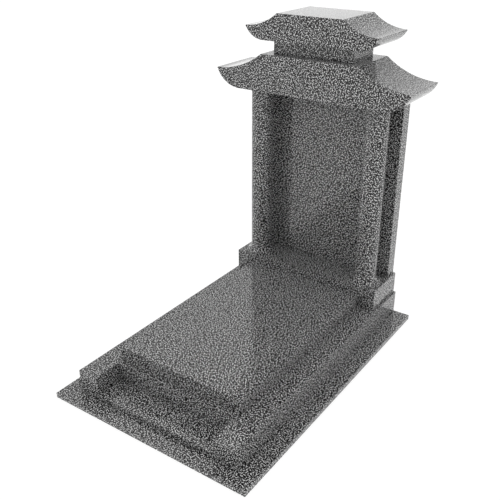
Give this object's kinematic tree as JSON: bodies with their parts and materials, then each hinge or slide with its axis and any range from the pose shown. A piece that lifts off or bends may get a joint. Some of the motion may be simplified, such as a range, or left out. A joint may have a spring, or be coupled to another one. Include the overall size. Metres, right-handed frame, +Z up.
{
  "type": "grave monument",
  "caption": "Polished granite grave monument: kerbed grave with a ledger, and a stele between round columns under a double roof with upturned eaves.",
  "frame": {"origin": "on the ground, in the middle of the monument's overall width and depth", "axes": "+Z is up. The front of the grave, with the step, faces -Y, and the stele stands at the +Y end. +X is to the right for someone standing in front and facing the stele."},
  "size_m": [1.07, 1.593, 1.5918],
  "materials": {
    "granite": "polished dark grey granite with a fine, even light and dark speckle"
  },
  "bodies": {
    "root": {"base_slab": "granite", "left_kerb": "granite", "right_kerb": "granite", "front_step": "granite", "front_cross_kerb": "granite", "rear_cross_kerb": "granite", "ledger": "granite", "plinth": "granite", "left_column": "granite", "right_column": "granite", "stele": "granite", "lower_roof": "granite", "roof_neck": "granite", "upper_roof": "granite"}
  },
  "joints": []
}
